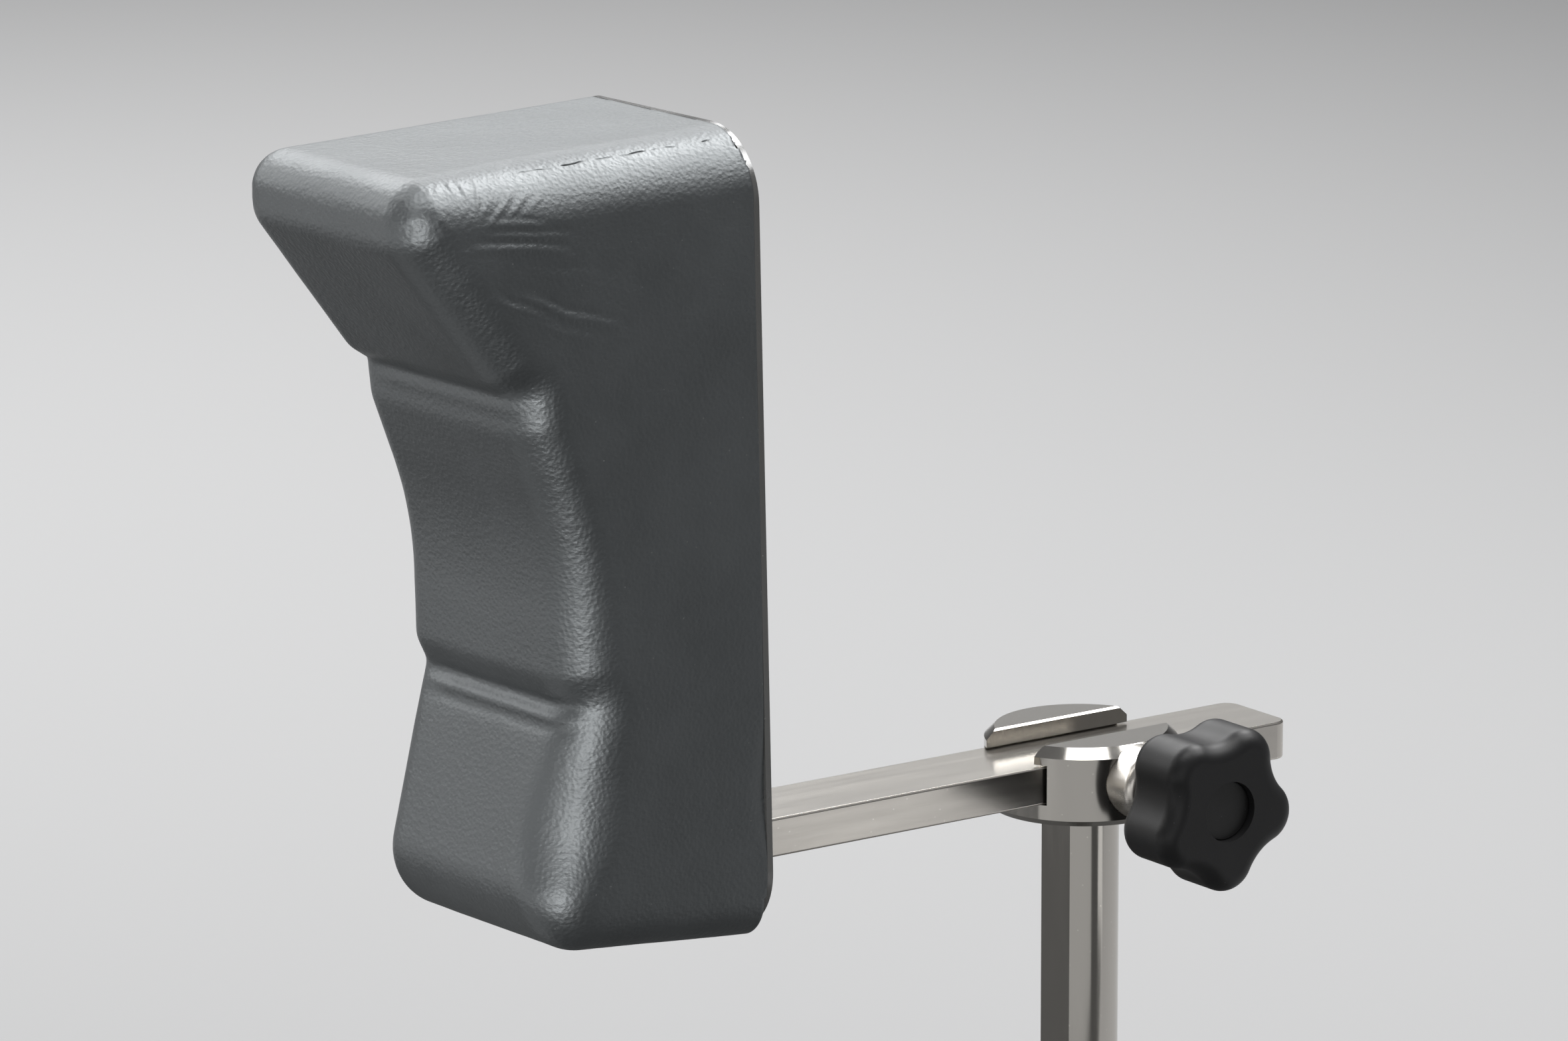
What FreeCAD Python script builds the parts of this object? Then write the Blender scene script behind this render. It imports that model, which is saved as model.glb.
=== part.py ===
import FreeCAD, Part

# Padded side support on a sliding flat bar.  A round post carries a clamp head, the bar slides
# through the head's slot, and a lobed knob turns a screw that presses a shoe against the bar.
# The bar's other end is welded to a plate that holds a moulded foam pad.
#
# Millimetres, +Z up.  The origin is on the post's axis at the head's underside, where a socket
# on the post comes to rest.  X runs along the bar, with the pad at -X, and the knob faces -Y.

import math
import os

from FreeCAD import Rotation, Vector

# ---------------------------------------------------------------- driving dimensions

# Post
post_diameter = 20.0
post_length = 180.0
post_flat_from_axis = 8.0
post_end_chamfer = 1.5

# Clamp head
head_diameter = 50.0
head_floor = 5.4
lip_thickness = 4.6
lip_overhang = 2.4
lip_edge_chamfer = 0.5
head_top_chamfer = 2.6
head_bottom_chamfer = 1.6
boss_seat_depth = 2.0

# Bar
bar_width = 25.0
bar_thickness = 10.0
bar_reach_past_post = 59.0
bar_corner_radius = 4.0
bar_edge_radius = 0.6

# Room around the bar in the slot
slot_gap_below = 0.1
slot_gap_above = 0.4
slot_gap_rear = 0.1
slot_gap_front = 0.8

# Countersunk screw that joins the post to the head
post_screw_diameter = 6.0
post_screw_length = 20.0
post_screw_head_diameter = 12.0
post_screw_head_height = 3.3
post_screw_key = 4.0
post_screw_key_depth = 2.0
post_hole_spare_depth = 3.0

# Clamp screw, the boss that it runs in, and the shoe on its tip
screw_diameter = 8.0
screw_height_on_bar = 5.5
screw_tip_diameter = 5.0
screw_neck_diameter = 3.8
screw_end_chamfer = 0.6
boss_diameter = 19.0
boss_reach = 10.0
boss_shoulder_radius = 3.0
boss_shank_diameter = 14.0
shoe_diameter = 9.0
shoe_thickness = 3.5
shoe_bore_depth = 2.4
shoe_edge_chamfer = 0.4
shoe_ring_thickness = 0.7
shoe_ring_diameter = 6.0
shoe_ring_gap = 2.0
clamp_travel = 2.5

# Knob
knob_lobes = 5
knob_tip_radius = 21.75
knob_lobe_radius = 8.2
knob_valley_radius = 13.6
knob_rest_angle = 30.4
knob_thickness = 20.0
knob_edge_radius = 4.5
knob_gap_to_boss = 2.6
knob_hub_diameter = 18.0
knob_hub_length = 6.1
knob_bush_diameter = 12.0
knob_bush_length = 16.0
knob_nut_across_flats = 13.0
knob_nut_height = 5.0
knob_cap_diameter = 15.6
knob_cap_thickness = 2.3
knob_cap_depth = 2.2
knob_cap_edge_radius = 0.3

# Pad, in its own frame: depth forward of its back, height above its lower rear corner
pad_width = 71.0
pad_height = 203.4
pad_lean = 1.25
pad_turn = 3.0
pad_back_from_post = 124.5
pad_below_bar = 13.6
pad_front_edge_radius = 10.0
pad_near_corner_radius = 18.0
pad_far_corner_radius = 9.0
pad_lip_depth = 103.1
pad_lip_front_height = 15.8
pad_lip_top_radius = 9.5
pad_lip_bottom_radius = 10.0
pad_ledge_reach = 5.6
pad_ledge_rise = 3.8
pad_ledge_radius = 7.0
pad_step_depth = 71.0
pad_step_height = 147.7
pad_step_radius = 2.0
pad_band_height = 11.0
pad_band_radius = 4.0
pad_band_lean = 0.9
pad_waist_depth = 59.0
pad_waist_rise_share = 0.5
pad_waist_curve_share = 0.8
pad_groove_height = 68.7
pad_groove_depth = 3.0
pad_groove_half_height = 9.0
pad_groove_lip = 1.5
pad_groove_radius = 4.0
pad_groove_edge_radius = 6.0
pad_toe_depth = 72.6
pad_toe_height = 9.0
pad_toe_radius = 16.0

# What holds the pad
cover_thickness = 1.7
board_thickness = 8.0
board_margin = 9.0
board_corner_radius = 10.0
plate_width = 50.0
plate_height = 110.0
plate_thickness = 4.0
plate_corner_radius = 8.0
plate_above_pad_bottom = 9.6
weld_leg = 3.0
pad_screw_diameter = 6.0
pad_screw_length = 16.0
pad_screw_head_diameter = 10.5
pad_screw_head_height = 3.3
pad_screw_head_radius = 2.4
pad_screw_key = 4.0
pad_screw_key_depth = 2.0
pad_screw_spacing_y = 28.0
pad_screw_from_plate_top = 14.0
pad_screw_above_bar = 12.0
washer_diameter = 12.0
washer_thickness = 1.6
lock_washer_diameter = 10.6
lock_washer_thickness = 1.6
lock_washer_gap = 1.2
insert_diameter = 10.0
insert_flange_diameter = 15.0
insert_flange_thickness = 1.5

# Clearances
thread_clearance = 0.05
seat_clearance = 0.1
running_clearance = 0.1
hole_clearance = 0.3
shoe_side_clearance = 0.4
shoe_back_clearance = 0.3

# ---------------------------------------------------------------- places worked out from them

slot_bottom = head_floor
bar_bottom = slot_bottom + slot_gap_below
bar_top = bar_bottom + bar_thickness
slot_top = bar_top + slot_gap_above
head_top = slot_top + lip_thickness
head_radius = head_diameter / 2
slot_front = -bar_width / 2 - slot_gap_front
slot_rear = bar_width / 2 + slot_gap_rear
opening_half = bar_width / 2 - lip_overhang

screw_z = bar_bottom + screw_height_on_bar
screw_radius = screw_diameter / 2
boss_seat_y = -head_radius + boss_seat_depth
boss_face_y = boss_seat_y - boss_reach
shoe_face_y = -bar_width / 2 - running_clearance
shoe_back_y = shoe_face_y - shoe_thickness
shoe_bore_end_y = shoe_back_y + shoe_bore_depth
shoe_ring_y = shoe_back_y + (shoe_bore_depth - shoe_ring_thickness) / 2
shoe_pocket_y = shoe_back_y - clamp_travel - shoe_back_clearance

hub_face_y = boss_face_y - knob_gap_to_boss
knob_back_y = hub_face_y - knob_hub_length
knob_front_y = knob_back_y - knob_thickness
bush_front_y = hub_face_y - knob_bush_length
nut_front_y = bush_front_y - knob_nut_height
cap_face_y = knob_front_y + knob_cap_depth
cap_back_y = cap_face_y + knob_cap_thickness
screw_end_y = (nut_front_y + cap_back_y) / 2

board_front_depth = cover_thickness + board_thickness

X_AXIS = Vector(1, 0, 0)
Y_AXIS = Vector(0, 1, 0)
Z_AXIS = Vector(0, 0, 1)
SAME = 1e-3
CUT_BEYOND = 1.0

# ---------------------------------------------------------------- helpers


def save(name, shape):
    """Write one node: a solid, or a list of separate solids."""
    if isinstance(shape, list):
        shape = Part.makeCompound(shape)
    if not shape.isValid():
        raise ValueError(name + " is not a valid shape")
    shape.exportStep("parts/" + name + ".step")


def cut_all(shape, tools):
    for tool in tools:
        shape = shape.cut(tool)
    return shape


def box(x0, x1, y0, y1, z0, z1):
    return Part.makeBox(x1 - x0, y1 - y0, z1 - z0, Vector(x0, y0, z0))


def rod_on_post(radius, z0, z1):
    return Part.makeCylinder(radius, z1 - z0, Vector(0, 0, z0), Z_AXIS)


def rod_on_screw(radius, y0, y1):
    return Part.makeCylinder(radius, y1 - y0, Vector(0, y0, screw_z), Y_AXIS)


def turned(points, origin, axis):
    """Turn a closed outline of points about an axis."""
    return Part.Face(Part.makePolygon(points + points[:1])).revolve(origin, axis, 360)


def turned_on_post(outline):
    """Turn (radius, z) points about the post's axis."""
    points = [Vector(radius, 0, z) for radius, z in outline]
    return turned(points, Vector(0, 0, 0), Z_AXIS)


def turned_on_screw(outline):
    """Turn (y, radius) points about the clamp screw's axis."""
    points = [Vector(0, y, screw_z + radius) for y, radius in outline]
    return turned(points, Vector(0, 0, screw_z), Y_AXIS)


def rounded_wire(corners, place):
    """A closed wire through (u, v, radius) corners with tangent arcs; place maps (u, v) to space."""
    count = len(corners)
    runs = []
    for i, (u, v, radius) in enumerate(corners):
        here = Vector(u, v, 0)
        to_before = (Vector(*corners[i - 1][:2], 0) - here).normalize()
        to_after = (Vector(*corners[(i + 1) % count][:2], 0) - here).normalize()
        half_angle = to_before.getAngle(to_after) / 2
        reach = radius / math.tan(half_angle)
        bisector = (to_before + to_after).normalize()
        middle = here + bisector * (radius / math.sin(half_angle) - radius)
        runs.append((here + to_before * reach, middle, here + to_after * reach))
    edges = []
    for i, (start, middle, end) in enumerate(runs):
        next_start = runs[(i + 1) % count][0]
        if start.distanceToPoint(end) > SAME:
            edges.append(Part.Arc(place(start), place(middle), place(end)).toShape())
        edges.append(Part.LineSegment(place(end), place(next_start)).toShape())
    return Part.Wire(edges)


def radius_over(before, corner, after, share):
    """The radius at a corner whose arc takes a share of the shorter side next to it."""
    here = Vector(*corner, 0)
    to_before = Vector(*before, 0) - here
    to_after = Vector(*after, 0) - here
    reach = share * min(to_before.Length, to_after.Length)
    return reach * math.tan(to_before.getAngle(to_after) / 2)


def hexagon(across_flats, start, along, height):
    """A hexagonal prism from start along +X, +Y or +Z."""
    side = X_AXIS if along.z > 0 else Z_AXIS
    other = along.cross(side)
    corner = across_flats / 2 / math.cos(math.pi / 6)
    points = []
    for k in range(6):
        angle = math.pi / 3 * k
        points.append(start + other * (corner * math.cos(angle)) + side * (corner * math.sin(angle)))
    return Part.Face(Part.makePolygon(points + points[:1])).extrude(along * height)


def edges_at_y(shape, y):
    """The edges that lie wholly in the plane at y."""
    return [e for e in shape.Edges if abs(e.BoundBox.YMin - y) < SAME and abs(e.BoundBox.YMax - y) < SAME]


# ---------------------------------------------------------------- post and clamp head


def clamp_head():
    """Round block with a slot for the bar, open at the top between two lips."""
    head = turned_on_post(
        [
            (0, 0),
            (head_radius - head_bottom_chamfer, 0),
            (head_radius, head_bottom_chamfer),
            (head_radius, head_top - head_top_chamfer),
            (head_radius - head_top_chamfer, head_top),
            (0, head_top),
        ]
    )
    slot = box(-head_radius, head_radius, slot_front, slot_rear, slot_bottom, slot_top)
    return cut_all(head, [slot, lip_opening(), boss_room(), post_screw_room()])


def lip_opening():
    """The gap between the lips, with its top edges chamfered, as a prism along X."""
    chamfer_bottom = head_top - lip_edge_chamfer
    outline = [
        (-opening_half, bar_top),
        (opening_half, bar_top),
        (opening_half, chamfer_bottom),
        (opening_half + lip_edge_chamfer, head_top),
        (-opening_half - lip_edge_chamfer, head_top),
        (-opening_half, chamfer_bottom),
    ]
    points = [Vector(-head_radius, y, z) for y, z in outline]
    return Part.Face(Part.makePolygon(points + points[:1])).extrude(X_AXIS * head_diameter)


def boss_room():
    """Spot face for the boss's flange, and the hole for its shank."""
    seat = rod_on_screw(boss_diameter / 2 + seat_clearance, -head_radius, boss_seat_y)
    shank_radius = boss_shank_diameter / 2 + thread_clearance
    return seat.fuse(rod_on_screw(shank_radius, boss_seat_y, slot_front))


def countersunk_head(extra):
    """The post screw's conical head, made larger by extra."""
    bottom = slot_bottom - post_screw_head_height
    small = post_screw_diameter / 2 + extra
    large = post_screw_head_diameter / 2 + extra
    return Part.makeCone(small, large, post_screw_head_height, Vector(0, 0, bottom), Z_AXIS)


def post_screw_room():
    shank = rod_on_post(post_screw_diameter / 2 + hole_clearance, 0, slot_bottom)
    return shank.fuse(countersunk_head(seat_clearance))


def post_screw():
    end = slot_bottom - post_screw_length
    shank = rod_on_post(post_screw_diameter / 2, end, slot_bottom - post_screw_head_height)
    socket_start = Vector(0, 0, slot_bottom - post_screw_key_depth)
    socket = hexagon(post_screw_key, socket_start, Z_AXIS, post_screw_key_depth)
    return countersunk_head(0).fuse(shank).cut(socket)


def mounting_post():
    """Round post with one flat down its whole length."""
    radius = post_diameter / 2
    post = turned_on_post(
        [
            (0, -post_length),
            (radius - post_end_chamfer, -post_length),
            (radius, post_end_chamfer - post_length),
            (radius, 0),
            (0, 0),
        ]
    )
    beyond_flat = box(-radius, -post_flat_from_axis, -radius, radius, -post_length, 0)
    hole_bottom = slot_bottom - post_screw_length - post_hole_spare_depth
    hole = rod_on_post(post_screw_diameter / 2 + thread_clearance, hole_bottom, 0)
    return cut_all(post, [beyond_flat, hole])


def threaded_boss():
    """Flanged bush in the head's side.  The shoe draws back into the pocket at its inner end."""
    flange = boss_diameter / 2
    shank = boss_shank_diameter / 2
    bore = screw_radius + thread_clearance
    pocket = shoe_diameter / 2 + shoe_side_clearance
    boss = turned_on_screw(
        [
            (boss_face_y, bore),
            (boss_face_y, flange),
            (boss_seat_y, flange),
            (boss_seat_y, shank),
            (slot_front, shank),
            (slot_front, pocket),
            (shoe_pocket_y, pocket),
            (shoe_pocket_y, bore),
        ]
    )
    outer = [e for e in edges_at_y(boss, boss_face_y) if e.BoundBox.ZLength > 2 * bore + SAME]
    return boss.makeFillet(boss_shoulder_radius, outer)


# ---------------------------------------------------------------- clamp screw and shoe


def pressure_shoe():
    """Round shoe with a blind bore for the screw's tip and a groove for the snap ring."""
    outer = shoe_diameter / 2
    bore = screw_tip_diameter / 2 + running_clearance
    groove = shoe_ring_diameter / 2 + running_clearance
    groove_start = shoe_ring_y - running_clearance
    groove_end = shoe_ring_y + shoe_ring_thickness + running_clearance
    return turned_on_screw(
        [
            (shoe_back_y, bore),
            (shoe_back_y, outer),
            (shoe_face_y - shoe_edge_chamfer, outer),
            (shoe_face_y, outer - shoe_edge_chamfer),
            (shoe_face_y, 0),
            (shoe_bore_end_y, 0),
            (shoe_bore_end_y, bore),
            (groove_end, bore),
            (groove_end, groove),
            (groove_start, groove),
            (groove_start, bore),
        ]
    )


def shoe_ring():
    """Split ring that keeps the shoe on the screw's neck."""
    outer = shoe_ring_diameter / 2
    inner = screw_neck_diameter / 2 + running_clearance
    end = shoe_ring_y + shoe_ring_thickness
    half_gap = shoe_ring_gap / 2
    split = box(-half_gap, half_gap, shoe_ring_y, end, screw_z, screw_z + outer)
    return cut_all(rod_on_screw(outer, shoe_ring_y, end), [rod_on_screw(inner, shoe_ring_y, end), split])


def clamp_screw():
    """Stud from the knob to the shoe, with a necked tip that the snap ring holds."""
    tip = screw_tip_diameter / 2
    neck = screw_neck_diameter / 2
    neck_start = shoe_ring_y - running_clearance
    neck_end = shoe_ring_y + shoe_ring_thickness + running_clearance
    shoulder_y = shoe_back_y - running_clearance
    tip_y = shoe_bore_end_y - running_clearance
    return turned_on_screw(
        [
            (screw_end_y, 0),
            (screw_end_y, screw_radius - screw_end_chamfer),
            (screw_end_y + screw_end_chamfer, screw_radius),
            (shoulder_y, screw_radius),
            (shoulder_y, tip),
            (neck_start, tip),
            (neck_start, neck),
            (neck_end, neck),
            (neck_end, tip),
            (tip_y, tip),
            (tip_y, 0),
        ]
    )


# ---------------------------------------------------------------- knob


def lobed_wire(y):
    """The knob's outline: convex lobes joined by tangent concave valleys."""
    half_pitch = math.pi / knob_lobes
    touch = knob_lobe_radius + knob_valley_radius
    lobe_from_axis = knob_tip_radius - knob_lobe_radius
    across = lobe_from_axis * math.sin(half_pitch)
    valley_from_axis = lobe_from_axis * math.cos(half_pitch) + math.sqrt(touch**2 - across**2)
    share = knob_lobe_radius / touch

    def at(radius, angle):
        return Vector(radius * math.sin(angle), y, screw_z + radius * math.cos(angle))

    edges = []
    for k in range(knob_lobes):
        middle = math.radians(knob_rest_angle) + 2 * half_pitch * k
        lobe = at(lobe_from_axis, middle)
        next_lobe = at(lobe_from_axis, middle + 2 * half_pitch)
        valley_before = at(valley_from_axis, middle - half_pitch)
        valley = at(valley_from_axis, middle + half_pitch)
        start = lobe + (valley_before - lobe) * share
        end = lobe + (valley - lobe) * share
        next_start = next_lobe + (valley - next_lobe) * share
        valley_floor = at(valley_from_axis - knob_valley_radius, middle + half_pitch)
        edges.append(Part.Arc(start, at(knob_tip_radius, middle), end).toShape())
        edges.append(Part.Arc(end, valley_floor, next_start).toShape())
    return Part.Wire(edges)


def knob_body():
    """Lobed grip with a hub, a bore for its bush and a pocket for the nut under the cap."""
    grip = Part.Face(lobed_wire(knob_front_y)).extrude(Y_AXIS * knob_thickness)
    rims = edges_at_y(grip, knob_front_y) + edges_at_y(grip, knob_back_y)
    grip = grip.makeFillet(knob_edge_radius, rims)
    hub = rod_on_screw(knob_hub_diameter / 2, bush_front_y, hub_face_y)
    nut_room = knob_nut_across_flats + 2 * seat_clearance
    nut_pocket = hexagon(nut_room, Vector(0, cap_back_y, screw_z), Y_AXIS, bush_front_y - cap_back_y)
    cap_pocket = rod_on_screw(knob_cap_diameter / 2, knob_front_y, cap_back_y)
    bush_bore = rod_on_screw(knob_bush_diameter / 2, bush_front_y, hub_face_y)
    return cut_all(grip.fuse(hub).removeSplitter(), [cap_pocket, nut_pocket, bush_bore])


def knob_bush():
    bore = rod_on_screw(screw_radius + thread_clearance, bush_front_y, hub_face_y)
    return rod_on_screw(knob_bush_diameter / 2, bush_front_y, hub_face_y).cut(bore)


def knob_nut():
    start = Vector(0, nut_front_y, screw_z)
    bore = rod_on_screw(screw_radius + thread_clearance, nut_front_y, bush_front_y)
    return hexagon(knob_nut_across_flats, start, Y_AXIS, knob_nut_height).cut(bore)


def knob_cap():
    cap = rod_on_screw(knob_cap_diameter / 2 - seat_clearance, cap_face_y, cap_back_y)
    return cap.makeFillet(knob_cap_edge_radius, edges_at_y(cap, cap_face_y))


# ---------------------------------------------------------------- the pad's own frame


def in_pad_frame(shape):
    """Lean and turn a shape drawn in the pad's frame and set it where the bar ends."""
    placed = shape.copy()
    turned_and_leaned = Rotation(Z_AXIS, pad_turn) * Rotation(Y_AXIS, -pad_lean)
    placed.Placement = FreeCAD.Placement(Vector(-pad_back_from_post, 0, bar_bottom), turned_and_leaned)
    return placed


def pad_point(depth, height, y=0.0):
    """Depth is forward of the pad's back, and height is above its lower rear corner."""
    return Vector(-depth, y, height - pad_below_bar)


def upright_slab(back, front, half_width, low, high, near_radius, far_radius):
    """A slab between two depths, with round corners on the knob's side and on the far side."""
    corners = [
        (-half_width, low, near_radius),
        (half_width, low, far_radius),
        (half_width, high, far_radius),
        (-half_width, high, near_radius),
    ]
    wire = rounded_wire(corners, lambda p: pad_point(back, p.y, p.x))
    return Part.Face(wire).extrude(X_AXIS * (back - front))


def at_pad_screws(make):
    """Four copies of what make(y, height) gives, one at each pad screw."""
    low = pad_below_bar + bar_thickness + pad_screw_above_bar
    high = plate_above_pad_bottom + plate_height - pad_screw_from_plate_top
    half = pad_screw_spacing_y / 2
    return [make(y, height) for y in (-half, half) for height in (low, high)]


def rods_at_pad_screws(diameter, back, front):
    radius = diameter / 2

    def rod(y, height):
        return Part.makeCylinder(radius, front - back, pad_point(front, height, y), X_AXIS)

    return at_pad_screws(rod)


# ---------------------------------------------------------------- bar and what holds the pad


def slide_bar():
    """Flat bar with its free end rounded, cut to the plate's leaning face."""
    half = bar_width / 2
    corners = [
        (-pad_back_from_post, -half, 0),
        (bar_reach_past_post, -half, bar_corner_radius),
        (bar_reach_past_post, half, bar_corner_radius),
        (-pad_back_from_post, half, 0),
    ]
    wire = rounded_wire(corners, lambda p: Vector(p.x, p.y, bar_bottom))
    bar = Part.Face(wire).extrude(Z_AXIS * bar_thickness)
    level = [e for e in bar.Edges if e.BoundBox.ZLength < SAME and e.BoundBox.XMax > SAME - pad_back_from_post]
    bar = bar.makeFillet(bar_edge_radius, level)
    pad_side = upright_slab(-plate_thickness, pad_lip_depth, pad_width, -pad_height, pad_height, 0, 0)
    return bar.cut(in_pad_frame(pad_side))


def weld_bead():
    """Fillet weld around the bar's end, tapering from the plate to the bar."""
    low = pad_below_bar
    high = pad_below_bar + bar_thickness
    half = bar_width / 2

    def ring(depth, extra):
        corners = [
            pad_point(depth, low - extra, -half - extra),
            pad_point(depth, low - extra, half + extra),
            pad_point(depth, high + extra, half + extra),
            pad_point(depth, high + extra, -half - extra),
        ]
        return Part.makePolygon(corners + corners[:1])

    back = -plate_thickness
    return Part.makeLoft([ring(back, weld_leg), ring(back - weld_leg, seat_clearance)], True, True)


def mounting_plate():
    low = plate_above_pad_bottom
    high = low + plate_height
    radius = plate_corner_radius
    plate = upright_slab(-plate_thickness, 0, plate_width / 2, low, high, radius, radius)
    holes = rods_at_pad_screws(pad_screw_diameter + 2 * hole_clearance, -plate_thickness, 0)
    plate = cut_all(plate, holes)
    return in_pad_frame(plate.fuse(weld_bead())).cut(slide_bar())


def back_cover():
    """Thin sheet that closes the pad's back and shows as a lip along its rear edge."""
    near = pad_near_corner_radius
    far = pad_far_corner_radius
    cover = upright_slab(0, cover_thickness, pad_width / 2, 0, pad_height, near, far)
    holes = rods_at_pad_screws(pad_screw_diameter + 2 * hole_clearance, 0, cover_thickness)
    return in_pad_frame(cut_all(cover, holes))


def board_slab(extra):
    """The board's form, made larger by extra on every side but its back."""
    half = pad_width / 2 - board_margin + extra
    low = board_margin - extra
    high = pad_height - board_margin + extra
    front = board_front_depth + extra
    radius = board_corner_radius
    return upright_slab(cover_thickness, front, half, low, high, radius, radius)


def pad_board():
    """Board moulded into the foam's back, bored and counterbored for the inserts."""
    flange_back = board_front_depth - insert_flange_thickness
    bodies = rods_at_pad_screws(insert_diameter + 2 * thread_clearance, cover_thickness, flange_back)
    flanges = rods_at_pad_screws(insert_flange_diameter + 2 * thread_clearance, flange_back, board_front_depth)
    return in_pad_frame(cut_all(board_slab(0), bodies + flanges))


def pad_inserts():
    """Flanged threaded inserts, pulled against the board from its front."""

    def insert(y, height):
        flange_back = board_front_depth - insert_flange_thickness
        start = pad_point(board_front_depth, height, y)
        flange = Part.makeCylinder(insert_flange_diameter / 2, insert_flange_thickness, start, X_AXIS)
        body_start = pad_point(flange_back, height, y)
        body_length = flange_back - cover_thickness
        body = Part.makeCylinder(insert_diameter / 2, body_length, body_start, X_AXIS)
        bore_radius = pad_screw_diameter / 2 + thread_clearance
        bore = Part.makeCylinder(bore_radius, board_thickness, start, X_AXIS)
        return in_pad_frame(flange.fuse(body).cut(bore))

    return at_pad_screws(insert)


def ring_at(y, height, back, diameter, thickness):
    """A washer whose rear face lies at back, bored for the pad screw."""
    start = pad_point(back + thickness, height, y)
    bore_radius = pad_screw_diameter / 2 + hole_clearance
    ring = Part.makeCylinder(diameter / 2, thickness, start, X_AXIS)
    return ring.cut(Part.makeCylinder(bore_radius, thickness, start, X_AXIS))


def pad_washers():
    back = -plate_thickness - washer_thickness

    def washer(y, height):
        return in_pad_frame(ring_at(y, height, back, washer_diameter, washer_thickness))

    return at_pad_screws(washer)


def pad_lock_washers():
    """Split spring washers, drawn flat as they lie when tightened."""
    back = -plate_thickness - washer_thickness - lock_washer_thickness
    half_gap = lock_washer_gap / 2

    def washer(y, height):
        ring = ring_at(y, height, back, lock_washer_diameter, lock_washer_thickness)
        corner = pad_point(back + lock_washer_thickness, height, y - half_gap)
        split = Part.makeBox(lock_washer_thickness, lock_washer_gap, lock_washer_diameter, corner)
        return in_pad_frame(ring.cut(split))

    return at_pad_screws(washer)


def pad_screws():
    """Button-head screws from behind the plate into the inserts."""
    under_head = -plate_thickness - washer_thickness - lock_washer_thickness

    def screw(y, height):
        start = pad_point(under_head, height, y)
        head = Part.makeCylinder(pad_screw_head_diameter / 2, pad_screw_head_height, start, X_AXIS)
        crown_x = start.x + pad_screw_head_height
        crown = [e for e in head.Edges if e.BoundBox.XMin > crown_x - SAME]
        head = head.makeFillet(pad_screw_head_radius, crown)
        shank_start = pad_point(under_head + pad_screw_length, height, y)
        shank = Part.makeCylinder(pad_screw_diameter / 2, pad_screw_length, shank_start, X_AXIS)
        socket_start = start + X_AXIS * (pad_screw_head_height - pad_screw_key_depth)
        socket = hexagon(pad_screw_key, socket_start, X_AXIS, pad_screw_key_depth)
        return in_pad_frame(head.fuse(shank).cut(socket))

    return at_pad_screws(screw)


# ---------------------------------------------------------------- foam


def pad_outline():
    """The side view's corners as (depth, height, radius), forward from the lower rear corner."""
    lip_bottom = pad_height - pad_lip_front_height
    groove_low = pad_groove_height - pad_groove_half_height
    groove_high = pad_groove_height + pad_groove_half_height
    band_bottom = pad_step_height - pad_band_height
    waist_height = groove_high + pad_waist_rise_share * (band_bottom - groove_high)
    groove_top = (pad_waist_depth, groove_high)
    waist = (pad_waist_depth, waist_height)
    band_foot = (pad_step_depth - pad_band_lean, band_bottom)
    waist_radius = radius_over(groove_top, waist, band_foot, pad_waist_curve_share)
    return [
        (cover_thickness, 0, 0),
        (pad_toe_depth, pad_toe_height, pad_toe_radius),
        (pad_waist_depth + pad_groove_lip, groove_low, pad_groove_edge_radius),
        (pad_waist_depth - pad_groove_depth, pad_groove_height, pad_groove_radius),
        (*groove_top, pad_groove_edge_radius),
        (*waist, waist_radius),
        (*band_foot, pad_band_radius),
        (pad_step_depth, pad_step_height, pad_step_radius),
        (pad_step_depth + pad_ledge_reach, pad_step_height + pad_ledge_rise, pad_ledge_radius),
        (pad_lip_depth, lip_bottom, pad_lip_bottom_radius),
        (pad_lip_depth, pad_height, pad_lip_top_radius),
        (cover_thickness, pad_height, 0),
    ]


def underside_rise():
    """The underside's slope in degrees, from the pad's back up to its toe."""
    return math.degrees(math.atan2(pad_toe_height, pad_toe_depth - cover_thickness))


def near_edge_waste(height, up, rise):
    """What the wide rounding takes off the long top (up 1) or bottom (up -1) edge by the knob."""
    radius = pad_near_corner_radius
    side = -pad_width / 2
    low, high = sorted((height - up * radius, height + up * CUT_BEYOND))
    corner = pad_point(pad_lip_depth, low, side - CUT_BEYOND)
    block = Part.makeBox(pad_lip_depth, radius + CUT_BEYOND, high - low, corner)
    start = pad_point(pad_lip_depth, height - up * radius, side + radius)
    waste = block.cut(Part.makeCylinder(radius, pad_lip_depth, start, X_AXIS))
    waste.rotate(pad_point(cover_thickness, 0), Y_AXIS, rise)
    return waste


def pad_foam():
    """Moulded foam with an overhanging lip, a step, a hollow waist, a groove and a toe."""
    half = pad_width / 2
    wire = rounded_wire(pad_outline(), lambda p: pad_point(p.x, p.y, -half))
    foam = Part.Face(wire).extrude(Y_AXIS * pad_width)
    back_x = -cover_thickness - SAME
    near = [e for e in foam.Edges if e.BoundBox.YMax < SAME - half and e.BoundBox.XMin < back_x]
    foam = foam.makeFillet(pad_front_edge_radius, near)
    far = [e for e in foam.Edges if e.BoundBox.YMin > half - SAME and e.BoundBox.XMin < back_x]
    foam = foam.makeFillet(pad_far_corner_radius, far)
    foam = cut_all(foam, [near_edge_waste(pad_height, 1, 0), near_edge_waste(0, -1, underside_rise())])
    return in_pad_frame(foam.cut(board_slab(seat_clearance)))


# ---------------------------------------------------------------- build


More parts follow.
